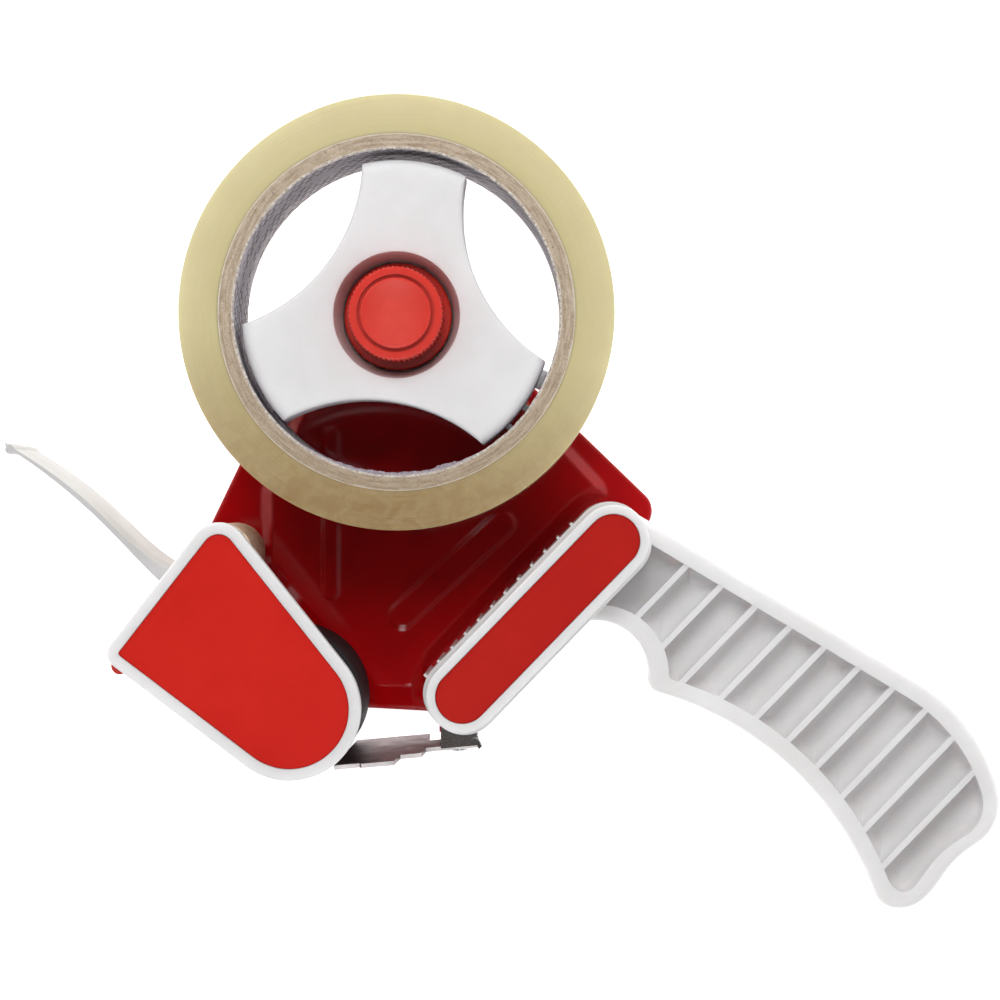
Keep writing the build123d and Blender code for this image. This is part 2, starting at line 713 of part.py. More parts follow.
FINS = ((14.3, 4.4), (2.0, 1.4), (-7.6, 1.4))  # angle from the middle of each lobe, and width
FIN_INNER = 34.0
FIN_OUTER = 37.1
FIN_LENGTH = 17.5
STOP_OUTER = 44.0  # the fins' feet reach under the core and stop the roll
BASE_THICK = 1.8
BASE_RADIUS = 35.0
BASE_HALF = 18.0
BASE_VALLEY = 17.5


def fin_row(outer):
    """Plan of every lobe's fins, from their inner side out to this radius."""
    with BuildSketch() as shape:
        for lobe in LOBES:
            for offset, width in FINS:
                angle = lobe + offset
                with Locations(Location((*polar((FIN_INNER + outer) / 2, angle), 0), angle)):
                    Rectangle(outer - FIN_INNER, width)
    return shape.sketch


with BuildPart() as hub_base:
    with BuildSketch(hub_level(HUB_FAR - BASE_THICK)):
        add(lobed_outline(BASE_RADIUS, BASE_HALF, BASE_VALLEY))
        add(fin_row(STOP_OUTER))
        Circle(SPINDLE_RADIUS + RUNNING_GAP, mode=Mode.SUBTRACT)
    extrude(amount=BASE_THICK)
    with BuildSketch(hub_level(HUB_FAR)):
        add(fin_row(FIN_OUTER))
    extrude(amount=FIN_LENGTH)

# ---------------------------------------------------------------- brake
WASHER_THICK = 1.2
WASHER_FAR = 42.2
KNOB_FAR = WASHER_FAR + WASHER_THICK + 0.2
KNOB_NEAR = 64.0
BOLT_HEAD = 6.0

with BuildPart() as hub_bolt:
    with BuildSketch(hub_level(0.3)):
        Circle(BOLT_HEAD)
    extrude(amount=PANEL_RISE - 0.3)
    with BuildSketch(hub_level(PANEL_RISE)):
        Circle(SPINDLE_RADIUS)
    extrude(amount=60.0 - PANEL_RISE)
    chamfer(hub_bolt.edges().sort_by(Axis.Z)[-1], 0.6)

with BuildPart() as friction_washer:
    with BuildSketch(hub_level(PANEL_TOP)):
        add(ring(10.0, SPINDLE_RADIUS))
    extrude(amount=1.15)

with BuildPart() as brake_washer:
    with BuildSketch(hub_level(WASHER_FAR)):
        add(ring(11.5, SPINDLE_RADIUS + RUNNING_GAP))
    extrude(amount=WASHER_THICK)

SPRING_RADIUS = 8.0
SPRING_WIRE = 0.6
SPRING_LOW = RECESS_FLOOR + SPRING_WIRE + 0.05
SPRING_PITCH = 1.6
SPRING_TURNS = 3

with BuildPart() as brake_spring:
    with BuildLine(hub_level(SPRING_LOW)) as coil:
        Helix(SPRING_PITCH, SPRING_TURNS * SPRING_PITCH, SPRING_RADIUS)
    with BuildSketch(Plane(origin=coil.edges()[0] @ 0, z_dir=coil.edges()[0] % 0)):
        Circle(SPRING_WIRE)
    sweep(is_frenet=True)

KNURLS = 60
KNOB_RADIUS = 10.9
CAP_RADIUS = 8.2
CAP_GAP = 0.8  # groove around the cap
FLANGE = 2.4
FLANGE_RADIUS = 12.6
CAP_DEPTH = 1.3
DISH = 50.0  # radius of the cap's hollow
DISH_DEPTH = 0.6

with BuildPart() as knob:
    with BuildSketch(hub_level(KNOB_FAR)):
        Circle(FLANGE_RADIUS)
    extrude(amount=FLANGE)
    fillet(knob.edges().filter_by(GeomType.CIRCLE).sort_by(Axis.Z)[-1], 0.5)
    with BuildSketch(hub_level(KNOB_FAR + FLANGE)):
        Circle(KNOB_RADIUS)
    extrude(amount=KNOB_NEAR - KNOB_FAR - FLANGE)
    fillet(knob.edges().filter_by(GeomType.CIRCLE).sort_by(Axis.Z)[-1], 0.5)
    with BuildSketch(hub_level(KNOB_FAR + FLANGE + 1.0)):
        with PolarLocations(KNOB_RADIUS + 0.1, KNURLS):
            Circle(0.36)
    extrude(amount=KNOB_NEAR - KNOB_FAR - FLANGE - 1.0, mode=Mode.SUBTRACT)
    with BuildSketch(hub_level(KNOB_NEAR)):
        Circle(CAP_RADIUS + CAP_GAP)
    extrude(amount=-CAP_DEPTH, mode=Mode.SUBTRACT)
    with BuildSketch(hub_level(KNOB_FAR)):
        Circle(6.0)
    extrude(amount=KNOB_NEAR - CAP_DEPTH - KNOB_FAR, mode=Mode.SUBTRACT)

with BuildPart() as knob_insert:
    with BuildSketch(hub_level(KNOB_FAR)):
        add(ring(6.0, SPINDLE_RADIUS + RUNNING_GAP))
    extrude(amount=KNOB_NEAR - CAP_DEPTH - KNOB_FAR)

with BuildPart() as knob_cap:
    with BuildSketch(hub_level(KNOB_NEAR - CAP_DEPTH)):
        Circle(CAP_RADIUS)
    extrude(amount=CAP_DEPTH + 0.5)
    fillet(knob_cap.edges().filter_by(GeomType.CIRCLE).sort_by(Axis.Z)[-1], 0.5)
    with Locations(hub_level(KNOB_NEAR + 0.5 + DISH - DISH_DEPTH).origin):
        Sphere(DISH, mode=Mode.SUBTRACT)

# ---------------------------------------------------------------- tape roll
with BuildPart() as core_liner:
    with BuildSketch(level(TAPE_FAR)):
        add(ring(CORE_BORE + LINER, CORE_BORE))
    extrude(amount=TAPE_WIDTH)

with BuildPart() as core:
    with BuildSketch(level(TAPE_FAR)):
        add(ring(CORE_RADIUS, CORE_BORE + LINER))
    extrude(amount=TAPE_WIDTH)

with BuildPart() as tape:
    with BuildSketch(level(TAPE_FAR)):
        add(ring(TAPE_RADIUS, CORE_RADIUS))
    extrude(amount=TAPE_WIDTH)

# ---------------------------------------------------------------- write one file per piece
PIECES = {
    "side_plate": side_plate,
    "handle": handle,
    "handle_label": handle_label,
    "anti_stick_strip": anti_stick_strip,
    "head_cover": head_cover,
    "head_label": head_label,
    "head_posts": head_posts,
    "head_screws": head_screws,
    "handle_screws": handle_screws,
    "bracket_screw": bracket_screw,
    "roller_axle": roller_axle,
    "guide_axle": guide_axle,
    "flap_pin": flap_pin,
    "guard_pin": guard_pin,
    "axle_clips": axle_clips,
    "roller_core": roller_core,
    "roller_tyre": roller_tyre,
    "guide_roller": guide_roller,
    "tape_flap": tape_flap,
    "blade_guard": blade_guard,
    "blade": blade,
    "blade_holder": blade_holder,
    "blade_screws": blade_screws,
    "guide_bracket": guide_bracket,
    "guide_plate": guide_plate,
    "bracket_rivets": bracket_rivets,
    "hub_spider": hub_spider,
    "hub_base": hub_base,
    "hub_bolt": hub_bolt,
    "friction_washer": friction_washer,
    "brake_washer": brake_washer,
    "brake_spring": brake_spring,
    "knob": knob,
    "knob_insert": knob_insert,
    "knob_cap": knob_cap,
    "core_liner": core_liner,
    "core": core,
    "tape": tape,
}
os.makedirs("parts", exist_ok=True)
for name, piece in PIECES.items():
    piece.part.label = name
    export_step(piece.part, f"parts/{name}.step")
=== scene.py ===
import math

import bpy
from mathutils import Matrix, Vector


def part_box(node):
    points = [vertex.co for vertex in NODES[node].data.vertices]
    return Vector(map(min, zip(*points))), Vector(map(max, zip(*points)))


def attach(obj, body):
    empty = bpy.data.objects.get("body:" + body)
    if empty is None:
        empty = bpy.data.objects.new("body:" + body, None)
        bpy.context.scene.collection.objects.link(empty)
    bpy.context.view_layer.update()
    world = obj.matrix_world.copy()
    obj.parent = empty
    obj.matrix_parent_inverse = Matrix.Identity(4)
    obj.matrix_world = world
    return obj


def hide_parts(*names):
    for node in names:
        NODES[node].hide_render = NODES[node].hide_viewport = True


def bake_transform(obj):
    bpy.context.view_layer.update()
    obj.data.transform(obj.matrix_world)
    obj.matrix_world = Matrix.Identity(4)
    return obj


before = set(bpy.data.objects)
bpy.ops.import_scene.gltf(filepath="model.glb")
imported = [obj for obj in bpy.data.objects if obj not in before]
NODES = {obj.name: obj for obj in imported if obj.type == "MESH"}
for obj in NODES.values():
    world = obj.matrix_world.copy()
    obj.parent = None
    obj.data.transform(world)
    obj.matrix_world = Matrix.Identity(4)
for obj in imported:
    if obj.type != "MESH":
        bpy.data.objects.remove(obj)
SCENE = bpy.context.scene
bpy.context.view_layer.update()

# ---------------------------------------------------------------- places, in metres
ROLL_LOW, ROLL_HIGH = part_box("tape")
ROLL = Vector(((ROLL_LOW[0] + ROLL_HIGH[0]) / 2, (ROLL_LOW[1] + ROLL_HIGH[1]) / 2, 0))
TAPE_NEAR = ROLL_HIGH[2]
TAPE_RADIUS = 50.8  # these three in millimetres
CORE_RADIUS = 41.6
BORE_RADIUS = 38.0
CAP_LOW, CAP_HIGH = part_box("knob_cap")
KNOB = Vector(((CAP_LOW[0] + CAP_HIGH[0]) / 2, (CAP_LOW[1] + CAP_HIGH[1]) / 2, 0))
MM = 0.001


# ---------------------------------------------------------------- material kit
class Look:
    """A material with short calls for the shader nodes used here. Lengths in its nodes are millimetres."""

    def __init__(self, name, **sockets):
        self.mat = bpy.data.materials.new(name)
        self.mat.use_nodes = True
        self.tree = self.mat.node_tree
        self.shader = self.tree.nodes["Principled BSDF"]
        for socket, value in sockets.items():
            self.put(socket.replace("_", " "), value)

    def put(self, socket, value):
        """Sets or links one of the shader's own sockets."""
        target = self.shader.inputs[socket]
        if isinstance(value, bpy.types.NodeSocket):
            self.tree.links.new(value, target)
        else:
            target.default_value = value

    def feed(self, node, socket, value):
        """Sets or links a node's input, and leaves it as it is for None."""
        if value is None:
            return
        if isinstance(value, bpy.types.NodeSocket):
            self.tree.links.new(value, node.inputs[socket])
        else:
            node.inputs[socket].default_value = value

    def place(self, stretch=(1.0, 1.0, 1.0), centre=(0.0, 0.0, 0.0)):
        """Position on the object in millimetres, from a centre, stretched per axis."""
        coord = self.tree.nodes.new("ShaderNodeTexCoord")
        move = self.tree.nodes.new("ShaderNodeVectorMath")
        move.operation = "SUBTRACT"
        self.tree.links.new(coord.outputs["Object"], move.inputs[0])
        move.inputs[1].default_value = centre
        scale = self.tree.nodes.new("ShaderNodeVectorMath")
        scale.operation = "MULTIPLY"
        self.tree.links.new(move.outputs[0], scale.inputs[0])
        scale.inputs[1].default_value = [1000.0 * s for s in stretch]
        return scale.outputs[0]

    def split(self, vector):
        node = self.tree.nodes.new("ShaderNodeSeparateXYZ")
        self.tree.links.new(vector, node.inputs[0])
        return node.outputs

    def join(self, x, y, z):
        node = self.tree.nodes.new("ShaderNodeCombineXYZ")
        for socket, value in enumerate((x, y, z)):
            self.feed(node, socket, value)
        return node.outputs[0]

    def math(self, operation, a, b=None, c=None):
        node = self.tree.nodes.new("ShaderNodeMath")
        node.operation = operation
        for socket, value in enumerate((a, b, c)):
            self.feed(node, socket, value)
        return node.outputs[0]

    def noise(self, vector, scale, detail=3.0, rough=0.55, warp=0.0):
        node = self.tree.nodes.new("ShaderNodeTexNoise")
        self.tree.links.new(vector, node.inputs["Vector"])
        node.inputs["Scale"].default_value = scale
        node.inputs["Detail"].default_value = detail
        node.inputs["Roughness"].default_value = rough
        node.inputs["Distortion"].default_value = warp
        return node.outputs["Fac"]

    def span(self, value, low, high, to_low=0.0, to_high=1.0):
        """Maps a value's range to another, with its ends held."""
        node = self.tree.nodes.new("ShaderNodeMapRange")
        self.feed(node, "Value", value)
        ends = {"From Min": low, "From Max": high, "To Min": to_low, "To Max": to_high}
        for socket, number in ends.items():
            self.feed(node, socket, number)
        return node.outputs[0]

    def ramp(self, value, *stops):
        """Colour ramp through stops of (place, colour)."""
        node = self.tree.nodes.new("ShaderNodeValToRGB")
        ramp = node.color_ramp
        while len(ramp.elements) < len(stops):
            ramp.elements.new(0.5)
        for element, (place, color) in zip(ramp.elements, stops):
            element.position = place
            element.color = (*color, 1.0)
        self.feed(node, 0, value)
        return node.outputs["Color"]

    def mix(self, factor, a, b, blend="MIX"):
        node = self.tree.nodes.new("ShaderNodeMix")
        node.data_type = "RGBA"
        node.blend_type = blend
        self.feed(node, 0, factor)
        for socket, value in ((6, a), (7, b)):
            if isinstance(value, tuple) and len(value) == 3:
                value = (*value, 1.0)
            self.feed(node, socket, value)
        return node.outputs[2]

    def bump(self, *layers, rounding=0.0):
        """Stacks bump layers, each (height, depth in millimetres, strength), over rounded creases."""
        normal = None
        if rounding:
            crease = self.tree.nodes.new("ShaderNodeBevel")
            crease.samples = 6
            crease.inputs["Radius"].default_value = rounding * MM
            normal = crease.outputs[0]
        for height, depth, strength in layers:
            node = self.tree.nodes.new("ShaderNodeBump")
            node.inputs["Strength"].default_value = strength
            node.inputs["Distance"].default_value = depth * MM
            self.tree.links.new(height, node.inputs["Height"])
            if normal is not None:
                self.tree.links.new(normal, node.inputs["Normal"])
            normal = node.outputs[0]
        self.put("Normal", normal)
        return normal

    def facing_up(self, low=0.6, high=0.8):
        """1 where the surface faces up and 0 where it doesn't."""
        geometry = self.tree.nodes.new("ShaderNodeNewGeometry")
        return self.span(self.split(geometry.outputs["Normal"])["Z"], low, high)


def srgb(r, g, b):
    """Linear colour from 0-255 display values."""
    return tuple(((v / 255 + 0.055) / 1.055) ** 2.4 if v > 10 else v / 255 / 12.92 for v in (r, g, b))


def dress(mat, *nodes):
    """Gives a material to CAD nodes."""
    for name in nodes:
        data = NODES[name].data
        data.materials.clear()
        data.materials.append(mat)


# ---------------------------------------------------------------- plastics
def moulded(name, base, dark, roughness, grain=0.010, **sockets):
    """Moulded plastic: fine spark-eroded grain, faint flow marks and dirt, softly uneven gloss."""
    look = Look(name, **sockets)
    where = look.place()
    cloud = look.noise(where, 0.045, 4.0, 0.6)
    speck = look.noise(where, 1.4, 2.0, 0.5)
    tone = look.mix(look.span(cloud, 0.35, 0.75), base, dark)
    tone = look.mix(look.span(speck, 0.66, 0.78, 0.0, 0.25), tone, dark)
    look.put("Base Color", tone)
    rough = look.math("ADD", look.span(cloud, 0.3, 0.7, roughness - 0.05, roughness + 0.06),
                      look.span(speck, 0.3, 0.7, -0.04, 0.04))
    look.put("Roughness", rough)
    look.bump((look.noise(where, 0.16, 2.0), 0.05, 0.35), (look.noise(where, 5.0, 2.0), grain, 0.8))
    return look.mat


WHITE = moulded("white_plastic", srgb(237, 236, 237), srgb(226, 224, 224), 0.42, IOR=1.49,
                Subsurface_Weight=0.5, Subsurface_Radius=(1.0, 0.9, 0.85), Subsurface_Scale=0.006)
KNOB_RED = moulded("knob_red", srgb(214, 46, 30), srgb(200, 38, 24), 0.34, 0.006, IOR=1.5,
                   Subsurface_Weight=0.35, Subsurface_Radius=(1.0, 0.25, 0.2), Subsurface_Scale=0.004)
FLAP_WHITE = moulded("flap_plastic", srgb(206, 204, 204), srgb(192, 190, 190), 0.46, IOR=1.49)
# A darker copy of the label red: painted shade for the handle's label, where the light falls off.
SHADED_LABEL_RED = moulded("label_red_painted_shade", srgb(186, 24, 14), srgb(174, 18, 10), 0.46, 0.014, IOR=1.47,
                    Specular_IOR_Level=0.15)
LABEL_RED = moulded("label_red", srgb(208, 30, 17), srgb(198, 22, 12), 0.46, 0.014, IOR=1.47,
                    Specular_IOR_Level=0.15)


def red_paint():
    """Gloss paint on pressed steel: slight orange peel, deep colour, hairline scuffs."""
    look = Look("red_paint", IOR=1.5, Specular_IOR_Level=0.5)
    where = look.place()
    cloud = look.noise(where, 0.05, 3.0)
    look.put("Base Color", look.mix(look.span(cloud, 0.35, 0.7), srgb(190, 5, 12), srgb(172, 3, 10)))
    scuff_a = look.noise(look.place((0.12, 3.5, 1.0)), 1.0, 2.0, 0.7, 0.4)
    scuff_b = look.noise(look.place((2.6, 0.16, 1.0)), 1.0, 2.0, 0.7, 0.4)
    scuff = look.math("MAXIMUM", look.span(scuff_a, 0.66, 0.74), look.span(scuff_b, 0.67, 0.75))
    look.put("Roughness", look.span(scuff, 0.0, 1.0, 0.07, 0.16))
    look.bump((look.noise(where, 0.30, 2.0), 0.015, 0.2), (scuff, 0.002, 0.2), rounding=1.2)
    return look.mat


def milky():
    """Translucent natural polyethylene."""
    look = Look("milky_plastic", IOR=1.5, Transmission_Weight=0.2,
                Subsurface_Weight=0.6, Subsurface_Radius=(1.0, 1.0, 1.0), Subsurface_Scale=0.006)
    where = look.place()
    cloud = look.noise(where, 0.2, 3.0)
    look.put("Base Color", look.mix(cloud, srgb(252, 248, 247), srgb(240, 234, 233)))
    look.put("Roughness", look.span(cloud, 0.3, 0.7, 0.10, 0.2))
    look.bump((look.noise(where, 1.2, 2.0), 0.02, 0.4))
    return look.mat


def rubber():
    """Dark rubber with cloudy wear and fine dust."""
    look = Look("rubber", IOR=1.42)
    where = look.place()
    cloud = look.noise(where, 0.12, 4.0, 0.65)
    dust = look.noise(where, 2.5, 3.0, 0.7)
    tone = look.mix(look.span(cloud, 0.35, 0.7), srgb(22, 21, 26), srgb(32, 31, 37))
    look.put("Base Color", look.mix(look.span(dust, 0.62, 0.8, 0.0, 0.4), tone, srgb(78, 79, 84)))
    look.put("Roughness", look.span(cloud, 0.3, 0.7, 0.55, 0.72))
    look.bump((look.noise(where, 0.7, 3.0), 0.06, 0.4), (dust, 0.02, 0.6))
    return look.mat


def beige():
    """Mottled idler: cloudy plastic with brownish smears."""
    look = Look("beige_plastic", IOR=1.48)
    where = look.place()
    cloud = look.noise(where, 0.35, 5.0, 0.7, 0.5)
    look.put("Base Color", look.ramp(cloud, (0.3, srgb(160, 124, 104)), (0.5, srgb(222, 192, 166)),
                                     (0.68, srgb(240, 224, 204))))
    look.put("Roughness", look.span(cloud, 0.3, 0.7, 0.5, 0.34))
    look.bump((look.noise(where, 2.0, 3.0), 0.03, 0.5))
    return look.mat


def steel(name, light, dark, roughness, along=(0.08, 3.0, 3.0), tarnish=0.0, lit_top_tone=None):
    """Rolled steel: lines along the sheet, cloudy gloss, and tarnish where asked, and where asked a painted
    highlight that makes faces turned up paler, as on a sheet's cut edge.
    """
    look = Look(name, Metallic=1.0)
    where = look.place()
    lines = look.noise(look.place(along), 1.0, 3.0, 0.65)
    cloud = look.noise(where, 0.22, 4.0, 0.6)
    tone = look.mix(look.span(lines, 0.3, 0.72), dark, light)
    if tarnish:
        spots = look.span(look.noise(where, 0.5, 5.0, 0.7, 0.6), 0.48, 0.66, 0.0, tarnish)
        tone = look.mix(spots, tone, srgb(74, 50, 46))
    if lit_top_tone:
        # Painted highlight: faces turned up are paler.
        tone = look.mix(look.facing_up(), tone, lit_top_tone)
    look.put("Base Color", tone)
    rough = look.math("ADD", look.span(cloud, 0.3, 0.7, roughness - 0.07, roughness + 0.08),
                      look.span(lines, 0.3, 0.7, -0.05, 0.05))
    look.put("Roughness", rough)
    look.bump((lines, 0.01, 0.2), (look.noise(where, 4.0, 2.0), 0.005, 0.3))
    return look.mat


STEEL = steel("zinc_steel", srgb(206, 207, 210), srgb(170, 172, 176), 0.30)
BLADE = steel("blade_steel", srgb(214, 216, 220), srgb(168, 170, 176), 0.20, (3.0, 3.0, 0.06))
# The guide's steel, with a painted highlight on its upturned cut edge.
GUIDE_STEEL = steel("guide_steel", srgb(146, 118, 119), srgb(120, 94, 97), 0.40, (3.0, 3.0, 0.05), 0.15,
                    srgb(178, 172, 172))
BRACKET_STEEL = steel("bracket_steel", srgb(104, 101, 99), srgb(58, 56, 55), 0.46, (3.0, 3.0, 0.6), 0.3)
BRASS = steel("brass", srgb(206, 170, 98), srgb(172, 132, 66), 0.3)


def polar(look, centre):
    """Radius around an upright axis and height in millimetres, and angle in radians."""
    x, y, z = look.split(look.place(centre=centre))
    radius = look.math("SQRT", look.math("ADD", look.math("MULTIPLY", x, x), look.math("MULTIPLY", y, y)))
    return radius, look.math("ARCTAN2", y, x), z


def painted_plate_shade(look, from_roll):
    """Painted shade: 1 on the side of the roll that lies over the side plate, fading out round the roll."""
    x, y, _ = look.split(from_roll)
    lean = look.math("ADD", look.math("MULTIPLY", x, 0.10), y)
    return look.span(lean, -8.0, -46.0)


def cardboard():
    """Spiral-wound grey board: pale plies on the cut ends, specks and short fibres, frayed edges."""
    look = Look("cardboard", IOR=1.4, Sheen_Weight=0.1)
    where = look.place(centre=ROLL)
    radius, angle, _ = polar(look, ROLL)
    ply = look.noise(look.join(look.math("MULTIPLY", radius, 1.5), look.math("MULTIPLY", angle, 6.0), 0.0),
                     1.0, 4.0, 0.7)
    speck = look.noise(where, 2.0, 5.0, 0.8)
    pit = look.noise(where, 1.5, 4.0, 0.75, 0.6)
    fleck = look.noise(look.place(centre=ROLL + Vector((20 * MM, 0, 0))), 1.8, 4.0, 0.8)
    tone = look.ramp(ply, (0.36, srgb(160, 142, 120)), (0.5, srgb(184, 166, 144)),
                     (0.64, srgb(202, 186, 164)))
    tone = look.mix(look.span(speck, 0.50, 0.66, 0.0, 0.55), tone, srgb(140, 118, 96))
    tone = look.mix(look.span(fleck, 0.55, 0.68, 0.0, 0.7), tone, srgb(216, 200, 184))
    tone = look.mix(look.span(pit, 0.60, 0.68, 0.0, 0.85), tone, srgb(104, 86, 74))
    wander = look.math("ADD", radius, look.span(look.noise(where, 0.5, 3.0), 0.3, 0.7, -0.12, 0.12))
    rim = look.math("MAXIMUM", look.span(wander, CORE_RADIUS - 0.32, CORE_RADIUS - 0.14),
                    look.span(wander, BORE_RADIUS + 0.62, BORE_RADIUS + 0.40))
    tone = look.mix(look.math("MULTIPLY", rim, 0.75), tone, srgb(226, 218, 206))
    # Painted shade: the board is darkened on the side of the roll that lies over the side plate.
    dim = look.math("MULTIPLY", painted_plate_shade(look, where), 0.35)
    look.put("Base Color", look.mix(dim, tone, srgb(132, 112, 84)))
    look.put("Roughness", look.span(speck, 0.3, 0.7, 0.82, 0.95))
    look.bump((ply, 0.10, 0.4), (speck, 0.14, 0.7), (pit, 0.10, 0.5))
    return look.mat


ROW_PITCH = 4.2  # millimetres, as is DASH_PITCH
DASH_PITCH = 3.1
ROW_CLIMB = 0.16  # rise along the bore for each millimetre round it


def liner_paper():
    """Grey recycled paper, smudged with broken rows of short dark dashes that climb round the core."""
    look = Look("liner_paper", IOR=1.4)
    where = look.place(centre=ROLL)
    _, angle, height = polar(look, ROLL)
    around = look.math("MULTIPLY", angle, BORE_RADIUS)
    cloud = look.noise(where, 0.25, 4.0, 0.6)
    speck = look.noise(where, 3.2, 3.0, 0.7)
    tone = look.mix(look.span(cloud, 0.3, 0.7), srgb(222, 216, 222), srgb(196, 190, 197))
    tone = look.mix(look.span(speck, 0.58, 0.74, 0.0, 0.5), tone, srgb(140, 132, 136))
    climb = look.math("ADD", height, look.math("MULTIPLY", around, ROW_CLIMB))
    rows = look.math("DIVIDE", climb, ROW_PITCH)
    row = look.math("FRACT", rows)
    shift = look.math("MULTIPLY", look.math("FLOOR", rows), 0.37)
    dash = look.math("FRACT", look.math("ADD", look.math("DIVIDE", around, DASH_PITCH), shift))
    mark = look.math("MULTIPLY", look.span(row, 0.58, 0.50), look.span(dash, 0.68, 0.58))
    wide = look.join(look.math("MULTIPLY", around, 0.07), look.math("MULTIPLY", height, 0.10), 0.0)
    patchy = look.noise(wide, 1.0, 3.0, 0.6)
    ragged = look.span(look.noise(where, 1.1, 3.0, 0.7), 0.36, 0.46)
    mark = look.math("MULTIPLY", look.math("MULTIPLY", mark, look.span(patchy, 0.43, 0.49)), ragged)
    look.put("Base Color", look.mix(look.math("MULTIPLY", mark, 0.95), tone, srgb(56, 42, 50)))
    look.put("Roughness", look.span(cloud, 0.3, 0.7, 0.7, 0.85))
    look.bump((look.noise(where, 1.3, 4.0), 0.06, 0.5))
    return look.mat


def tape_roll():
    """Wound film: fine turns on the flat ends, glossy amber outside, cloudy where air is wound in.
    Over the side plate it is browned with painted shade, standing in for the plate seen through the film."""
    look = Look("tape_film", IOR=1.5, Coat_Weight=0.35, Coat_Roughness=0.12,
                Subsurface_Weight=0.35, Subsurface_Radius=(0.010, 0.008, 0.004), Subsurface_Scale=0.6)
    where = look.place(centre=ROLL)
    radius, angle, height = polar(look, ROLL)
    close = look.join(look.math("MULTIPLY", radius, 5.0), look.math("MULTIPLY", angle, 0.8), 0.0)
    turns = look.noise(close, 1.0, 3.0, 0.6)
    broad = look.join(look.math("MULTIPLY", radius, 0.5), look.math("MULTIPLY", angle, 0.5), 0.0)
    bands = look.noise(broad, 1.0, 2.0, 0.5)
    lanes = look.noise(look.join(look.math("MULTIPLY", height, 0.35), look.math("MULTIPLY", angle, 0.6),
                                 look.math("MULTIPLY", radius, 0.1)), 1.0, 4.0, 0.6)
    cloud = look.noise(where, 0.12, 4.0, 0.6)
    outward = look.span(radius, CORE_RADIUS, TAPE_RADIUS)
    tone = look.mix(outward, srgb(206, 192, 140), srgb(218, 209, 168))
    tone = look.mix(look.span(bands, 0.35, 0.7, 0.0, 0.5), tone, srgb(212, 201, 156))
    tone = look.mix(look.span(cloud, 0.4, 0.7, 0.0, 0.35), tone, srgb(204, 192, 146))
    tone = look.mix(look.span(turns, 0.55, 0.78, 0.0, 0.30), tone, srgb(230, 224, 192))
    tone = look.mix(look.span(turns, 0.45, 0.25, 0.0, 0.25), tone, srgb(188, 172, 124))
    tone = look.mix(look.span(lanes, 0.45, 0.7, 0.0, 0.2), tone, srgb(198, 184, 138))
    glue = look.span(radius, CORE_RADIUS + 0.5, CORE_RADIUS + 0.1, 0.0, 0.5)
    tone = look.mix(glue, tone, srgb(166, 148, 110))
    # Painted shade over the side plate, made uneven in strength.
    uneven_shade = look.span(look.noise(where, 0.25, 3.0, 0.6, 0.8), 0.35, 0.65, 0.82, 1.0)
    look.put("Base Color", look.mix(look.math("MULTIPLY", painted_plate_shade(look, where), uneven_shade), tone,
                                    srgb(150, 121, 78)))
    look.put("Roughness", look.span(turns, 0.3, 0.7, 0.36, 0.24))
    look.bump((turns, 0.02, 0.4), (lanes, 0.03, 0.3))
    return look.mat


def torn_film():
    """Ragged clear film at the core's edge."""
    look = Look("torn_film", IOR=1.45, Transmission_Weight=0.45)
    where = look.place()
    cloud = look.noise(where, 0.9, 4.0, 0.7)
    look.put("Base Color", look.mix(look.span(cloud, 0.35, 0.65), srgb(206, 196, 206), srgb(150, 138, 150)))
    look.put("Roughness", look.span(cloud, 0.3, 0.7, 0.18, 0.5))
    look.bump((look.noise(where, 2.0, 4.0), 0.10, 0.8))
    return look.mat


def torn_paper():
    """Frayed board fibres at the core's edge."""
    look = Look("torn_paper", IOR=1.4)
    where = look.place()
    cloud = look.noise(where, 1.2, 4.0, 0.7)
    look.put("Base Color", look.ramp(cloud, (0.36, srgb(150, 138, 128)), (0.5, srgb(192, 182, 172)),
                                     (0.66, srgb(232, 226, 220))))
    look.put("Roughness", look.span(cloud, 0.3, 0.7, 0.6, 0.9))
    look.bump((look.noise(where, 3.0, 4.0), 0.10, 0.8))
    return look.mat


def knob_cap_red():
    """The knob's plastic with fine turning rings that start from the cap's middle."""
    look = Look("cap_red", IOR=1.5, Subsurface_Weight=0.35, Subsurface_Radius=(1.0, 0.25, 0.2),
                Subsurface_Scale=0.004)
    radius, angle, _ = polar(look, KNOB)
    rings = look.noise(look.join(look.math("MULTIPLY", radius, 2.2), look.math("MULTIPLY", angle, 0.4), 0.0),
                       1.0, 3.0, 0.6)
    cloud = look.noise(look.place(), 0.3, 4.0, 0.6)
    # Painted shading of the dished top: the cap is lighter towards its middle.
    tone = look.mix(look.span(radius, 8.0, 1.5), srgb(214, 50, 36), srgb(224, 66, 50))
    look.put("Base Color", look.mix(look.span(cloud, 0.4, 0.7, 0.0, 0.4), tone, srgb(204, 44, 32)))
    look.put("Roughness", look.span(rings, 0.3, 0.7, 0.30, 0.42))
    look.bump((rings, 0.05, 0.45), (look.noise(look.place(), 4.0, 2.0), 0.008, 0.6))
    return look.mat


def fibre_board():
    """Vulcanised fibre, mottled reddish brown."""
    look = Look("fibre", IOR=1.4)
    where = look.place()
    cloud = look.noise(where, 0.8, 5.0, 0.7, 0.8)
    look.put("Base Color", look.ramp(cloud, (0.3, srgb(96, 50, 36)), (0.7, srgb(150, 84, 58))))
    look.put("Roughness", look.span(cloud, 0.3, 0.7, 0.75, 0.9))
    look.bump((look.noise(where, 3.0, 3.0), 0.04, 0.6))
    return look.mat


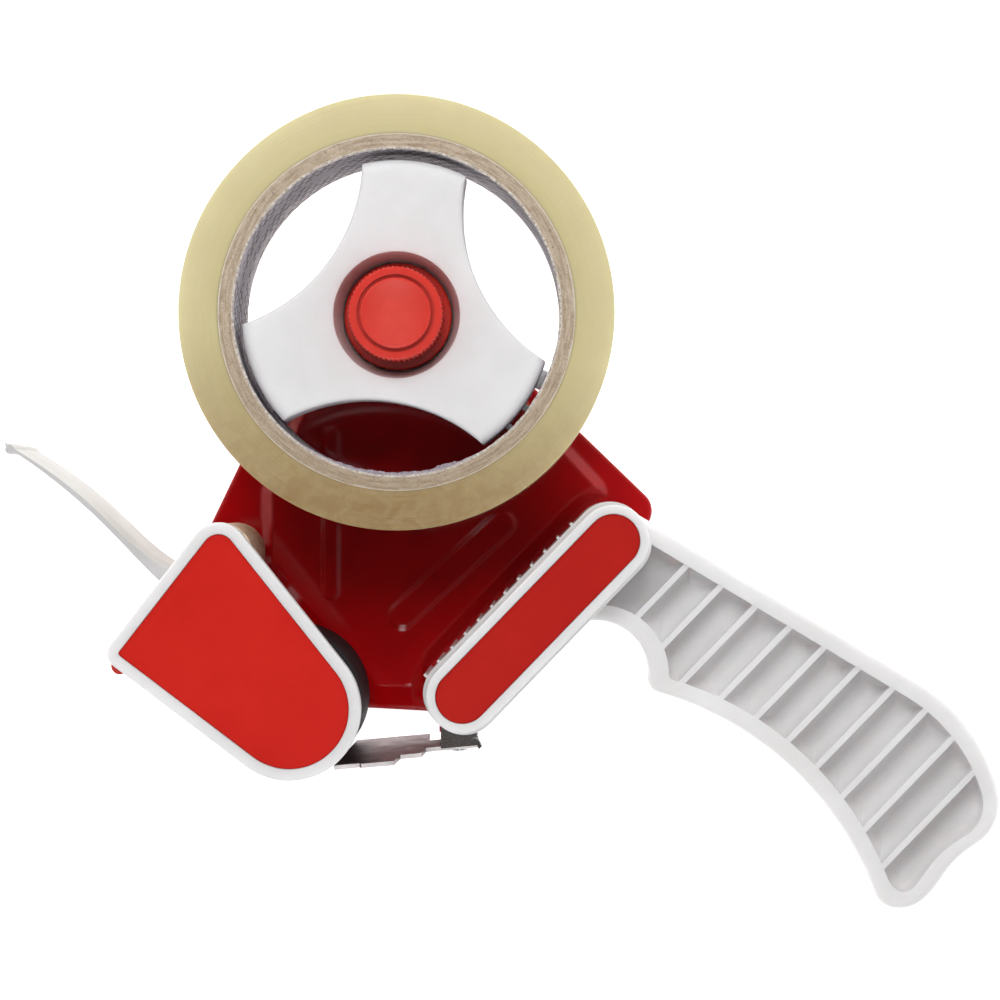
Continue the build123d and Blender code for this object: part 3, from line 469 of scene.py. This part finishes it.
dress(red_paint(), "side_plate")
dress(WHITE, "handle", "head_cover", "head_posts", "roller_core", "hub_spider", "hub_base")
dress(FLAP_WHITE, "tape_flap")
dress(LABEL_RED, "head_label")
dress(SHADED_LABEL_RED, "handle_label")
dress(KNOB_RED, "knob", "blade_guard")
dress(knob_cap_red(), "knob_cap")
dress(milky(), "anti_stick_strip")
dress(rubber(), "roller_tyre")
dress(beige(), "guide_roller")
dress(STEEL, "head_screws", "handle_screws", "bracket_screw", "roller_axle", "guide_axle", "flap_pin",
      "guard_pin", "axle_clips", "blade_holder", "blade_screws", "bracket_rivets", "hub_bolt",
      "brake_washer", "brake_spring")
dress(BLADE, "blade")
dress(GUIDE_STEEL, "guide_plate")
dress(BRACKET_STEEL, "guide_bracket")
dress(BRASS, "knob_insert")
dress(fibre_board(), "friction_washer")
dress(liner_paper(), "core_liner")
dress(cardboard(), "core")
dress(tape_roll(), "tape")

# ---------------------------------------------------------------- smooth shading and soft edges
MOULDED_EDGE = (0.18, 30.0)  # edge width in millimetres, and least angle in degrees that gets one
SOFTER_EDGES = {"side_plate": (0.7, 12.0), "knob_cap": (0.3, 30.0)}

for name, node in NODES.items():
    for polygon in node.data.polygons:
        polygon.use_smooth = True
    width, least_angle = SOFTER_EDGES.get(name, MOULDED_EDGE)
    edges = node.modifiers.new("soft_edges", "BEVEL")
    edges.width = width * MM
    edges.segments = 3
    edges.limit_method = "ANGLE"
    edges.angle_limit = math.radians(least_angle)
    edges.harden_normals = True
    edges.use_clamp_overlap = True

# ---------------------------------------------------------------- brake spring, copied into a mesh of its own
coil = bpy.data.objects.new("spring_coil", NODES["brake_spring"].data.copy())
SCENE.collection.objects.link(coil)
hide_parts("brake_spring")
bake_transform(coil)

# ---------------------------------------------------------------- torn edge of the core, in degrees
WAVES = ((0.23, 0.35), (0.71, 0.30), (1.93, 0.2), (4.7, 0.15))  # rate along the angle, and weight
TEAR_STEP = 0.3
FILM_START, FILM_END = 232.0, 302.0
TAB_START, TAB_END = 284.5, 291.5


def wobble(angle, seed):
    """Uneven value between -1 and 1 along an angle in degrees."""
    return sum(weight * math.sin(angle * rate + seed * (turn + 1.7))
               for turn, (rate, weight) in enumerate(WAVES))


def roll_point(radius, angle, height):
    """Point around the roll's axis, from millimetres and degrees."""
    return (ROLL.x + radius * MM * math.cos(math.radians(angle)),
            ROLL.y + radius * MM * math.sin(math.radians(angle)), height)


def ragged_band(name, mat, start, end, rows):
    """Strip around the roll's axis; each row gives (radius, height) in millimetres at an angle."""
    steps = int((end - start) / TEAR_STEP)
    points = []
    faces = []
    for step in range(steps + 1):
        angle = start + (end - start) * step / steps
        for radius, height in rows(angle):
            points.append(roll_point(radius, angle, TAPE_NEAR + height * MM))
    count = len(points) // (steps + 1)
    for step in range(steps):
        for row in range(count - 1):
            first = step * count + row
            faces.append((first, first + 1, first + count + 1, first + count))
    mesh = bpy.data.meshes.new(name)
    mesh.from_pydata(points, [], faces)
    mesh.materials.append(mat)
    for polygon in mesh.polygons:
        polygon.use_smooth = True
    band = bpy.data.objects.new(name, mesh)
    SCENE.collection.objects.link(band)
    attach(band, "tape_roll")


def paper_rows(angle):
    """Frayed board that stands up round the bore, from the outside in."""
    rough = wobble(angle, 2.0)
    fine = wobble(angle * 3.1, 5.0)
    return (
        (BORE_RADIUS + 0.42 + 0.14 * fine, 0.015),
        (BORE_RADIUS + 0.28 + 0.12 * rough, 0.05 + 0.02 * fine),
        (BORE_RADIUS + 0.06 + 0.10 * fine, 0.06 + 0.03 * rough),
        (BORE_RADIUS - 0.10 + 0.12 * rough, -0.12),
    )


def film_rows(angle):
    """Flap of film over the bore's edge, widest in its middle and with a tab near its end."""
    share = (angle - FILM_START) / (FILM_END - FILM_START)
    fade = max(0.0, math.sin(math.pi * share)) ** 0.6
    tab = 0.5 if TAB_START < angle < TAB_END else 0.0
    reach = fade * (0.75 + 0.25 * wobble(angle * 2.3, 8.0) + tab)
    return (
        (BORE_RADIUS + 0.15, 0.05),
        (BORE_RADIUS - 0.5 * reach, -0.15 + 0.1 * wobble(angle, 3.0)),
        (BORE_RADIUS - reach, -0.5 + 0.25 * wobble(angle * 1.7, 1.0)),
    )


ragged_band("torn_paper_edge", torn_paper(), 0.0, 360.0, paper_rows)
ragged_band("torn_film_edge", torn_film(), FILM_START, FILM_END, film_rows)

# ---------------------------------------------------------------- curled end of the tape guide
# The curl's line is given from the roll's axis, in millimetres.
GUIDE_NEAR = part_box("guide_plate")[1][2]
CURL = ((17.6, -99.5), (18.2, -99.55), (18.75, -99.95), (19.1, -100.6), (19.45, -101.4))
CURL_THICK = 0.3
CURL_DEPTH = 7.0


def curl_points(height, shift):
    """The curl's line at a height, moved to one of its faces."""
    return [(ROLL.x + (x + shift) * MM, ROLL.y + (y + shift) * MM, height) for x, y in CURL]


curl_sides = [curl_points(height, shift) for height, shift in (
    (GUIDE_NEAR, -CURL_THICK), (GUIDE_NEAR, CURL_THICK),
    (GUIDE_NEAR - CURL_DEPTH * MM, CURL_THICK), (GUIDE_NEAR - CURL_DEPTH * MM, -CURL_THICK))]
curl_faces = []
for row in range(4):
    for step in range(len(CURL) - 1):
        here = row * len(CURL) + step
        there = (row + 1) % 4 * len(CURL) + step
        curl_faces.append((here, here + 1, there + 1, there))
for step in (0, len(CURL) - 1):
    curl_faces.append(tuple(row * len(CURL) + step for row in range(4)))
curl_mesh = bpy.data.meshes.new("guide_curl")
curl_mesh.from_pydata([point for side in curl_sides for point in side], [], curl_faces)
curl_mesh.materials.append(BRACKET_STEEL)
curl = bpy.data.objects.new("guide_curl", curl_mesh)
SCENE.collection.objects.link(curl)
curl_edges = curl.modifiers.new("soft_edges", "BEVEL")
curl_edges.width = 0.12 * MM
curl_edges.segments = 2
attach(curl, "frame")

# ---------------------------------------------------------------- floor, light, camera
REACH = 3.0  # metres, as are the next three
FLOOR_DROP = 0.0002
CAMERA_HEIGHT = 1.0
CAMERA_ASIDE = Vector((0.03453, -0.04488, 0))

floor_mesh = bpy.data.meshes.new("floor")
floor_mesh.from_pydata(
    [(-REACH, -REACH, 0), (REACH, -REACH, 0), (REACH, REACH, 0), (-REACH, REACH, 0)], [], [(0, 1, 2, 3)])
floor = bpy.data.objects.new("floor", floor_mesh)
SCENE.collection.objects.link(floor)
floor_look = Look("floor", Roughness=0.9, Emission_Color=(1.0, 1.0, 1.0, 1.0), Emission_Strength=0.95)
floor_tone = floor_look.noise(floor_look.place(), 0.004, 2.0)
floor_look.put("Base Color", floor_look.mix(floor_tone, srgb(236, 236, 236), srgb(230, 230, 230)))
floor_mesh.materials.append(floor_look.mat)
floor.location.z = -FLOOR_DROP

# The sky is bright near the horizon and below, dim higher up, and dark overhead where the camera
# stands, with a brighter ring round that patch. SKY gives brightness along half the distance from it.
SKY = ((0.0, 0.02), (0.022, 0.02), (0.048, 0.42), (0.125, 0.22), (0.38, 0.22), (0.56, 1.0))
OVERHEAD = (-0.036, -0.002, 1.0)

world = bpy.data.worlds.new("studio")
SCENE.world = world
world.use_nodes = True
sky = world.node_tree
direction = sky.nodes.new("ShaderNodeTexCoord")
away = sky.nodes.new("ShaderNodeVectorMath")
away.operation = "DISTANCE"
away.inputs[1].default_value = OVERHEAD
half = sky.nodes.new("ShaderNodeMath")
half.operation = "MULTIPLY"
half.inputs[1].default_value = 0.5
glow = sky.nodes.new("ShaderNodeValToRGB")
while len(glow.color_ramp.elements) < len(SKY):
    glow.color_ramp.elements.new(0.5)
for element, (place, value) in zip(glow.color_ramp.elements, SKY):
    element.position = place
    element.color = (value, value, value, 1.0)

sky.links.new(direction.outputs["Generated"], away.inputs[0])
sky.links.new(away.outputs["Value"], half.inputs[0])
sky.links.new(half.outputs[0], glow.inputs[0])
sky.links.new(glow.outputs["Color"], sky.nodes["Background"].inputs["Color"])
sky.nodes["Background"].inputs["Strength"].default_value = 1.0


def soft_box(name, place, width, power, length=None, mirrored=True, lighting=True):
    """Studio lamp that looks at the middle of the object, square without a length. One that isn't
    mirrored gives no gloss, and one that isn't lighting gives nothing else."""
    light = bpy.data.lights.new(name, "AREA")
    light.shape = "RECTANGLE"
    light.size = width
    light.size_y = length or width
    light.energy = power
    holder = bpy.data.objects.new(name, light)
    SCENE.collection.objects.link(holder)
    holder.location = place
    holder.rotation_euler = (-Vector(place)).to_track_quat("-Z", "Y").to_euler()
    holder.visible_glossy = mirrored
    holder.visible_diffuse = lighting


soft_box("key", (-0.85, 0.95, 0.95), 0.7, 1.6)
soft_box("fill", (1.1, -0.3, 1.0), 0.8, 0.8)
soft_box("front", (-0.04, 0.34, 0.72), 0.35, 3.0, mirrored=False)
soft_box("crease_gloss", (-0.08, -0.62, 1.3), 0.16, 4.4, length=0.8, lighting=False)

# The camera stands above the roll's near side, looks straight down, and is a little off centre.
camera_data = bpy.data.cameras.new("camera")
camera = bpy.data.objects.new("camera", camera_data)
SCENE.collection.objects.link(camera)
camera.location = ROLL + CAMERA_ASIDE + Vector((0, 0, TAPE_NEAR + CAMERA_HEIGHT))
camera_data.sensor_width = 36.0
camera_data.lens = 154.8
camera_data.shift_x = -0.045
camera_data.shift_y = 0.005
camera_data.clip_start = 0.05
camera_data.clip_end = 20.0
SCENE.camera = camera
SCENE.view_settings.view_transform = "Standard"
SCENE.view_settings.look = "None"
